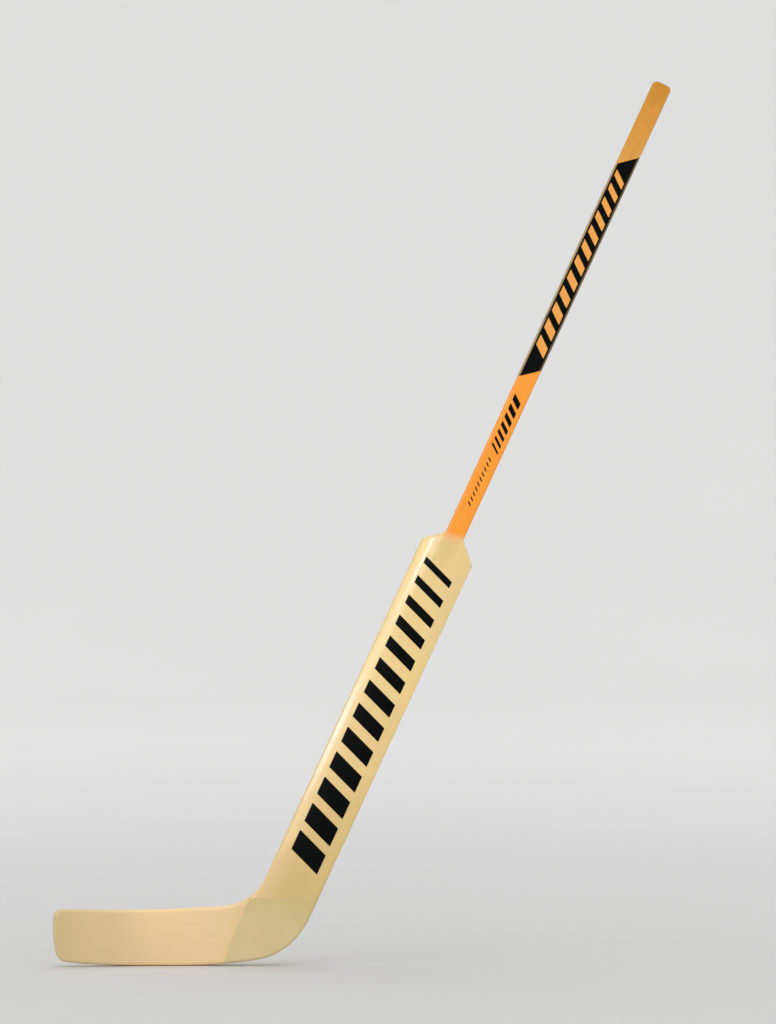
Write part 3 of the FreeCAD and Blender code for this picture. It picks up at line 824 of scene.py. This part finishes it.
def make_edge(name, turn):
    """Clear-coated edge wood in the laminate's own cream, with fine straight grain."""
    look = Look(
        name,
        Roughness=0.42,
        Coat_Weight=1.0,
        Coat_Roughness=0.12,
        Coat_IOR=1.5,
        Specular_IOR_Level=0.3,
    )
    # lightened by 6 %: painted light, offsetting the shade on the rounded edges
    col = look.mix(1.0, laminate_colour(look), (1.06, 1.06, 1.06, 1), "MULTIPLY")
    grain = look.noise(1.0, 4.0, 0.6, look.mapped((700.0, 700.0, 10.0), turn))
    dark = look.mix(1.0, col, (0.86, 0.82, 0.74, 1), "MULTIPLY")
    col = look.mix(look.math("MULTIPLY", look.span(grain, 0.42, 0.72), 0.75), col, dark)
    pores = look.noise(1.0, 2.0, 0.5, look.mapped((2400.0, 2400.0, 60.0), turn))
    col = look.mix(look.math("MULTIPLY", look.span(pores, 0.6, 0.74), 0.22), col, srgb(188, 146, 92))
    look.drive("Base Color", col)
    look.bump(look.math("ADD", grain, look.math("MULTIPLY", pores, 0.4)), 0.05, 0.0003)
    return look.mat


def make_foam():
    look = Look("rigid_foam", Roughness=0.85, Specular_IOR_Level=0.2)
    n = look.tree.nodes.new("ShaderNodeTexVoronoi")
    n.inputs["Scale"].default_value = 900.0
    look.link(look.place, n.inputs["Vector"])
    col = look.mix(look.span(n.outputs["Distance"], 0.1, 0.6), srgb(222, 196, 128), srgb(243, 226, 170))
    col = look.mix(look.span(look.noise(40.0), 0.3, 0.7), col, srgb(235, 212, 150))
    look.drive("Base Color", col)
    look.bump(n.outputs["Distance"], 0.3, 0.0004)
    return look.mat


LAMINATE, CLOTH, PAINT = make_laminate(), make_cloth(), make_paint()
INK_A, INK_B = (0.0014, 0.0021, 0.0018, 1), (0.0026, 0.0034, 0.0029, 1)
BLACK = make_ink("print_black", INK_A, INK_B, 0.07)
# the band's rounded corners carry a painted highlight in warm grey
BAND = make_ink("print_black_rubbed", INK_A, INK_B, 0.08, srgb(186, 158, 116))
ORANGE = make_ink("print_orange", srgb(240, 164, 74), srgb(246, 172, 84), 0.8)
EDGE_LEAN = make_edge("edge_wood_paddle", LEAN)
EDGE_FLAT = make_edge("edge_wood_blade", math.pi / 2)
HARDWOOD = make_wood("hardwood", srgb(214, 166, 104), srgb(176, 122, 66), LEAN)
LIGHTWOOD = make_wood("light_wood", srgb(236, 206, 152), srgb(212, 176, 116), LEAN)
PLY = make_wood("plywood", srgb(218, 180, 122), srgb(186, 142, 86), 0.0, (300.0, 2600.0, 12.0))
FOAM = make_foam()

# ------------------------------------------------------------------ skins and patch
JOINT = [lean(-45.0, 0.0), lean(-45.0, 300.0)]
ACROSS = (COS, -SIN)  # direction of +w on the face
sheets = {-1: face_sheet(-1), 1: face_sheet(1)}


def skin_deep(sheet):
    def deep(v):
        turn = v[sheet.turn]
        return SKIN * (1 - min(1.0, turn / FEATHER) ** 2)

    return deep


def patch_lift(sheet):
    def lift(v):
        turn = v[sheet.turn]
        return 0.32 if turn < 0.6 else 0.32 - 0.24 * min(1.0, (turn - 0.6) / 0.7)

    return lift


for side, word in ((-1, "front"), (1, "back")):
    skin = sheets[side].copy().keep_turn(FEATHER + 0.01)
    paddle = skin.copy().keep(JOINT[0], ACROSS)
    paddle.piece(
        "visual_paddle_skin_" + word, 0.0, skin_deep(paddle), mat=LAMINATE,
        slot="glass_laminate", replaces=["paddle_skin_" + word],
    )
    blade = skin.copy().keep(JOINT[0], (-ACROSS[0], -ACROSS[1]))
    blade.piece(
        "visual_blade_skin_" + word, 0.0, skin_deep(blade), mat=LAMINATE,
        slot="glass_laminate", replaces=["blade_skin_" + word],
    )
    patch = sheets[side].copy()
    patch.keep((132.8, 105.5), (0.0, -1.0))
    patch.keep((102.0, 33.5), (72.0, -30.8))
    patch.keep((102.0, 33.5), (43.5, -12.7))
    patch.piece(
        "visual_heel_patch_" + word, patch_lift(patch), 0.4, mat=CLOTH,
        slot="heel_cloth", replaces=["heel_patch_" + word],
    )


# ------------------------------------------------------------------ edge pieces
def edge_piece(name, first, last, mat, node):
    verts, normals, loops = [], [], []
    for i in range(first, last + 1):
        st = stations[i]
        loop = []

        def add(p, n):
            loop.append(len(verts))
            verts.append(p)
            normals.append(n)

        for k in range(8):
            a0 = st.tilt[-1] + FEATHER
            angle = a0 + (math.pi / 2 - a0) * k / 7
            add(st.point(-1, angle), edge_normal(i, -1, angle))
        for k in range(1, 4):
            y = st.deep[-1] + (st.deep[1] - st.deep[-1]) * k / 4
            add(Vector((st.p.x, y, st.p.y)), edge_normal(i, -1, math.pi / 2))
        for k in range(7, -1, -1):
            a0 = st.tilt[1] + FEATHER
            angle = a0 + (math.pi / 2 - a0) * k / 7
            add(st.point(1, angle), edge_normal(i, 1, angle))
        word = RUNS[st.run][0]
        q = st.inside(7.0 if word.startswith("corner") else 10.0)
        inward = Vector((st.n.x, 0, st.n.y))
        add(Vector((q.x, surface(q.x, q.y, 1) - SKIN, q.y)), inward)
        add(Vector((q.x, surface(q.x, q.y, -1) + SKIN, q.y)), inward)
        loops.append(loop)
    faces = [loops[0][:], loops[-1][::-1]]
    for a, b in zip(loops, loops[1:]):
        for k in range(len(a)):
            j = (k + 1) % len(a)
            faces.append([a[k], b[k], b[j], a[j]])
    return put(name, verts, faces, normals, mat=mat, slot="edge_wood", replaces=[node])


for node, first, last, mat in (
    ("shoulder_rail_heel_side", "neck_heel", "mitre_heel", EDGE_LEAN),
    ("paddle_rail_heel_side", "mitre_heel", "heel_high", EDGE_LEAN),
    ("heel_strip_outer", "heel_high", "sole_cut", EDGE_LEAN),
    ("blade_sole_strip", "sole_cut", "toe_cut_low", EDGE_FLAT),
    ("blade_toe_strip", "toe_cut_low", "toe_cut_high", EDGE_FLAT),
    ("blade_top_strip", "toe_cut_high", "throat", EDGE_FLAT),
    ("heel_strip_inner", "throat", "rail_toe", EDGE_LEAN),
    ("paddle_rail_toe_side", "rail_toe", "mitre_toe", EDGE_LEAN),
    ("shoulder_rail_toe_side", "mitre_toe", "end", EDGE_LEAN),
):
    edge_piece("visual_" + node, mark[first], mark[last], mat, node)

# ------------------------------------------------------------------ shaft
def shaft_ring(step):
    """The shaft's section, moved out by step: w, y and normal."""
    out = []
    half, deep, r = NECK_W, THICK, NECK_R
    corners = [(-1, -1, 180), (1, -1, 270), (1, 1, 0), (-1, 1, 90)]
    for k, (sw, sy, start) in enumerate(corners):
        cw, cy = sw * (half - r), sy * (deep - r)
        for j in range(10):
            a = math.radians(start + 90 * j / 9)
            out.append((cw + (r + step) * math.cos(a), cy + (r + step) * math.sin(a), math.cos(a), math.sin(a)))
        nw, ny, _ = corners[(k + 1) % 4]
        flat = 7 if sy == ny else 3
        w0, y0, n0, m0 = out[-1]
        a = math.radians(start + 90)
        w1 = nw * (half - r) + (r + step) * math.cos(a)
        y1 = ny * (deep - r) + (r + step) * math.sin(a)
        for j in range(1, flat):
            f = j / flat
            out.append((w0 + (w1 - w0) * f, y0 + (y1 - y0) * f, n0, m0))
    return out


def butt_at(w):
    """Where the shaft ends, at a place across it: the corners are rounded."""
    over = abs(w) - (NECK_W - BUTT_R)
    if over <= 0:
        return BUTT_T
    return BUTT_T - BUTT_R + math.sqrt(max(BUTT_R**2 - over**2, 0.0))


def tube(name, step, deep, low, high, rows, **kw):
    verts, normals, layers = [], [], []
    for grow in (step, step - deep):
        ring = shaft_ring(grow)
        layer = []
        for j in range(rows + 1):
            line = []
            for w, y, nw, ny in ring:
                ww = max(-NECK_W, min(NECK_W, w))
                t0, t1 = low(ww), high(ww)
                x, z = lean(w, t0 + (t1 - t0) * j / rows)
                line.append(len(verts))
                verts.append(Vector((x, y, z)))
                n = Vector((nw * COS, ny, -nw * SIN))
                normals.append(n if grow == step else -n)
            layer.append(line)
        layers.append(layer)
    faces = []
    outer, inner = layers
    count = len(outer[0])
    for j in range(rows):
        for k in range(count):
            m = (k + 1) % count
            faces.append([outer[j][k], outer[j][m], outer[j + 1][m], outer[j + 1][k]])
            faces.append([inner[j][k], inner[j + 1][k], inner[j + 1][m], inner[j][m]])
    for j in (0, rows):
        for k in range(count):
            m = (k + 1) % count
            faces.append([outer[j][k], outer[j][m], inner[j][m], inner[j][k]])
    return put(name, verts, faces, normals, **kw)


tube(
    "visual_shaft_sleeve", 0.0, SKIN, lambda w: SLEEVE_T, butt_at, 40,
    mat=PAINT, slot="shaft_paint", replaces=["shaft_sleeve"],
)
BAND_LOW = lambda w: 1014.0 + 12.0 * w / NECK_W
BAND_HIGH = lambda w: 1378.5 + 12.5 * w / NECK_W
tube("print_shaft_band", 0.07, 0.12, BAND_LOW, BAND_HIGH, 24, mat=BAND, slot="shaft_paint")


def shaft_bars(name, bars, half, lift, mat):
    """Slanted bars on the flat of the shaft, front and back, as thin plates."""
    verts, faces, normals = [], [], []
    cuts = 6
    for side in (-1, 1):
        for t0, t1, rise in bars:
            base = len(verts)
            for layer in (lift, -0.04):
                for j in range(cuts + 1):
                    w = -half + 2 * half * j / cuts
                    for t in (t0, t1):
                        x, z = lean(w, t - rise * w / half)
                        verts.append(Vector((x, side * (THICK + layer), z)))
                        normals.append(Vector((0, side if layer > 0 else -side, 0)))
            deep = 2 * (cuts + 1)
            for j in range(cuts):
                a = base + 2 * j
                faces.append([a, a + 1, a + 3, a + 2])
                faces.append([a + deep, a + deep + 2, a + deep + 3, a + deep + 1])
                faces.append([a, a + 2, a + deep + 2, a + deep])
                faces.append([a + 1, a + deep + 1, a + deep + 3, a + 3])
            a, b = base, base + 2 * cuts
            faces.append([a, a + deep, a + deep + 1, a + 1])
            faces.append([b, b + 1, b + deep + 1, b + deep])
    return put(name, verts, faces, normals, mat=mat, slot="shaft_paint")


bars, t = [], 1052.0
for k in range(12):
    wide = 17.0 - 0.6 * k
    bars.append((t, t + wide, 8.0))
    t += wide + 12.3
shaft_bars("print_shaft_bars", bars, 9.6, 0.13, ORANGE)
marks, t = [], 884.0
for k in range(7):
    wide = 4.0 + 1.1 * k
    marks.append((t, t + wide, 6.0))
    t += wide + 6.0
shaft_bars("print_shaft_ticks", marks, 7.4, 0.07, BLACK)
small = [(790.0 + 8.4 * k, 792.6 + 8.4 * k, 2.4) for k in range(10)]
shaft_bars("print_shaft_fine_ticks", small, 2.9, 0.07, BLACK)


# ------------------------------------------------------------------ paddle print
def paddle_bar(sheet, t0, t1, half, rise):
    """The part of a face between two slanted lines and two lines along it."""
    bar = sheet.copy()
    for t, sign in ((t0, 1.0), (t1, -1.0)):
        a, b = Vector(lean(half, t - rise)), Vector(lean(-half, t + rise))
        way = (b - a).normalized()
        up = Vector((-way.y, way.x))
        if up.dot(Vector((SIN, COS))) < 0:
            up = -up
        bar.keep(a, up * sign)
    bar.keep(lean(-half, 300.0), ACROSS)
    bar.keep(lean(half, 300.0), (-ACROSS[0], -ACROSS[1]))
    return bar


BARS, t = [], 178.0
for k in range(13):
    wide = 33.0 - 1.85 * k
    BARS.append((t, t + wide))
    t += wide + 15.0 + 0.55 * k
for side, word in ((-1, "front"), (1, "back")):
    face = sheets[side].copy().keep_turn(0.001)
    all_verts, all_faces, all_normals = [], [], []
    for t0, t1 in BARS:
        near = face.copy()
        near.keep(lean(0.0, t0 - 30.0), (SIN, COS))
        near.keep(lean(0.0, t1 + 30.0), (-SIN, -COS))
        verts, faces, normals = paddle_bar(near, t0, t1, 26.5, 10.0).solid(0.07, 0.12)
        all_faces += [[k + len(all_verts) for k in f] for f in faces]
        all_verts += verts
        all_normals += normals
    put("print_paddle_bars_" + word, all_verts, all_faces, all_normals, mat=BLACK, slot="glass_laminate")

# ------------------------------------------------------------------ inner pieces
def foam_piece(node, sign, shoulder):
    """Foam between spine and rail, just under both skins."""
    sheet = sheets[-1].copy().keep_turn(0.001)
    inner_w, outer_w = NECK_W - SKIN, HALF - 10.0
    inwards = Vector(ACROSS) * sign
    sheet.keep(lean(sign * inner_w, 300.0), inwards)
    sheet.keep(lean(sign * outer_w, 300.0), -inwards)
    sheet.keep(lean(0.0, 138.0), (SIN, COS))
    a, b = Vector(lean(sign * HALF, shoulder)), Vector(lean(sign * NECK_W, NECK_T))
    way = (b - a).normalized()
    down = Vector((way.y, -way.x))
    if down.dot(Vector((SIN, COS))) > 0:
        down = -down
    sheet.keep(a + down * 10.0, down)
    bm = sheet.bm
    bm.verts.ensure_lookup_table()
    bm.verts.index_update()
    count = len(bm.verts)
    gap = SKIN + 0.08
    verts = [Vector((v.co.x, v.co.y + gap, v.co.z)) for v in bm.verts]
    verts += [Vector((v.co.x, -v.co.y - gap, v.co.z)) for v in bm.verts]
    faces = []
    for f in bm.faces:
        loop = [v.index for v in f.verts]
        faces.append(loop)
        faces.append([k + count for k in reversed(loop)])
    for e in bm.edges:
        if len(e.link_faces) == 1:
            a, b = (v.index for v in e.verts)
            faces.append([a, b, b + count, a + count])
    return put("visual_" + node, verts, faces, mat=FOAM, slot="foam", replaces=[node])


foam_piece("paddle_foam_toe_side", -1.0, SHOULDER_TOE)
foam_piece("paddle_foam_heel_side", 1.0, SHOULDER_HEEL)
for node, mat in (
    ("shaft_center_ply", HARDWOOD),
    ("shaft_inner_ply_front", LIGHTWOOD),
    ("shaft_inner_ply_back", LIGHTWOOD),
    ("shaft_face_ply_front", HARDWOOD),
    ("shaft_face_ply_back", HARDWOOD),
    ("heel_block_toe_side", HARDWOOD),
    ("heel_block_heel_side", HARDWOOD),
    ("heel_spline", PLY),
    ("blade_foam_core", FOAM),
):
    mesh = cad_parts[node].data
    mesh.materials.clear()
    mesh.materials.append(mat)

# ------------------------------------------------------------------ stage
def backdrop():
    """A round floor that curves up into a wall, seamless from every side."""
    line = [(0.02, 0.0), (2.5, 0.0), (5.0, 0.0), (7.5, 0.0)]
    for k in range(1, 25):
        a = math.radians(90 * k / 24)
        line.append((7.5 + 5.5 * math.sin(a), 5.5 - 5.5 * math.cos(a)))
    line += [(13.0, 7.0), (13.0, 8.5)]
    around = 72
    verts, faces = [], []
    for r, z in line:
        for k in range(around):
            a = 2 * math.pi * k / around
            verts.append((0.31 + r * math.cos(a), r * math.sin(a), z - 0.0004))
    for j in range(len(line) - 1):
        for k in range(around):
            m = (k + 1) % around
            faces.append([around * j + k, around * j + m, around * (j + 1) + m, around * (j + 1) + k])
    faces.append(list(range(around))[::-1])
    mesh = bpy.data.meshes.new("studio_floor")
    mesh.from_pydata(verts, [], faces)
    mesh.polygons.foreach_set("use_smooth", [True] * len(mesh.polygons))
    obj = bpy.data.objects.new("studio_floor", mesh)
    COLLECTION.objects.link(obj)
    look = Look("studio_paper", Roughness=0.9, Specular_IOR_Level=0.1)
    col = look.mix(look.span(look.noise(0.8, 2.0, 0.5), 0.3, 0.7), (0.806, 0.806, 0.80, 1), (0.814, 0.814, 0.808, 1))
    look.drive("Base Color", col)
    mesh.materials.append(look.mat)
    obj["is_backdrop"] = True
    return obj


floor = backdrop()
off_floor = bpy.data.collections.new("lights_off_the_floor")
off_floor.objects.link(floor)
off_floor.collection_objects[0].light_linking.link_state = "EXCLUDE"


def softbox(name, at, aim, size, power, colour=(1, 1, 1), roll=0.0, close=False):
    """An area light. One that stands close to the stick leaves no glow on the floor."""
    data = bpy.data.lights.new(name, "AREA")
    data.shape = "RECTANGLE"
    data.size, data.size_y = size
    data.energy, data.color = power, colour
    obj = bpy.data.objects.new(name, data)
    COLLECTION.objects.link(obj)
    obj.location = at
    aimed = (Vector(aim) - Vector(at)).to_track_quat("-Z", "Y")
    obj.rotation_mode = "QUATERNION"
    obj.rotation_quaternion = aimed @ Quaternion((0, 0, 1), roll)
    obj.visible_camera = False
    if close:
        obj.light_linking.receiver_collection = off_floor
    return obj


KEY_WAY = Vector((0.795, 3.86, -0.31))
softbox("overhead", (0.31, 0.0, 8.0), (0.31, 0.0, 0.0), (11.0, 11.0), 480)
softbox("key_wide", (-0.79, -3.9, 0.92), (0.34, 0.0, 0.46), (2.0, 1.9), 36, (1.0, 0.98, 0.895), -LEAN, True)
for name, at, size, power in (
    ("key_low", Vector((-0.660, -3.838, 0.546)), (0.655, 0.217), 5.8),
    ("key_high", Vector((-0.621, -3.80, 1.177)), (0.36, 0.327), 3.7),
):
    softbox(name, at, at + KEY_WAY, size, power, (0.70, 0.74, 1.0), -LEAN, True)
softbox("top_front", (0.2, -3.4, 3.4), (0.35, 0.0, 0.6), (3.4, 1.6), 18, (1.0, 0.985, 0.96), 0.0, True)
softbox("fill_right", (3.0, -2.6, 0.7), (0.35, 0.0, 0.6), (1.4, 1.2), 9, (0.99, 0.99, 1.0), 0.0, True)
back = softbox("fill_back", (0.9, 4.2, 2.4), (0.35, 0.0, 0.6), (2.8, 1.8), 40, (1.0, 0.99, 0.97), 0.0, True)
back.visible_glossy = False  # no white line along the edges that face it
for k, name in enumerate(("wall_far", "wall_toe", "wall_near", "wall_heel")):
    a = math.radians(90 + 90 * k)
    way = Vector((math.cos(a), math.sin(a), 0.0))
    centre = Vector((0.31, 0.0, 0.0))
    softbox(name, centre + way * 5.0 + Vector((0, 0, 7.5)), centre + way * 12.5 + Vector((0, 0, 2.6)), (9.0, 1.5), 250 if name == "wall_near" else 320)

world = bpy.data.worlds.new("studio")
world.use_nodes = True
world.node_tree.nodes["Background"].inputs[0].default_value = (0.95, 0.98, 1.0, 1)
world.node_tree.nodes["Background"].inputs[1].default_value = 0.15
scene.world = world

# ------------------------------------------------------------------ camera
cam = bpy.data.cameras.new("camera")
cam.lens = 135.0
cam.sensor_width = 36.0
cam.clip_end = 60.0
camera = bpy.data.objects.new("camera", cam)
COLLECTION.objects.link(camera)
camera.location = (0.3483, -0.010 - 0.04423 * 135.0, 0.7055)
camera.rotation_euler = (math.pi / 2, 0.0, 0.0)
scene.camera = camera
scene.view_settings.view_transform = "Standard"
scene.view_settings.look = "None"

bpy.context.view_layer.update()
lo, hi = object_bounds()
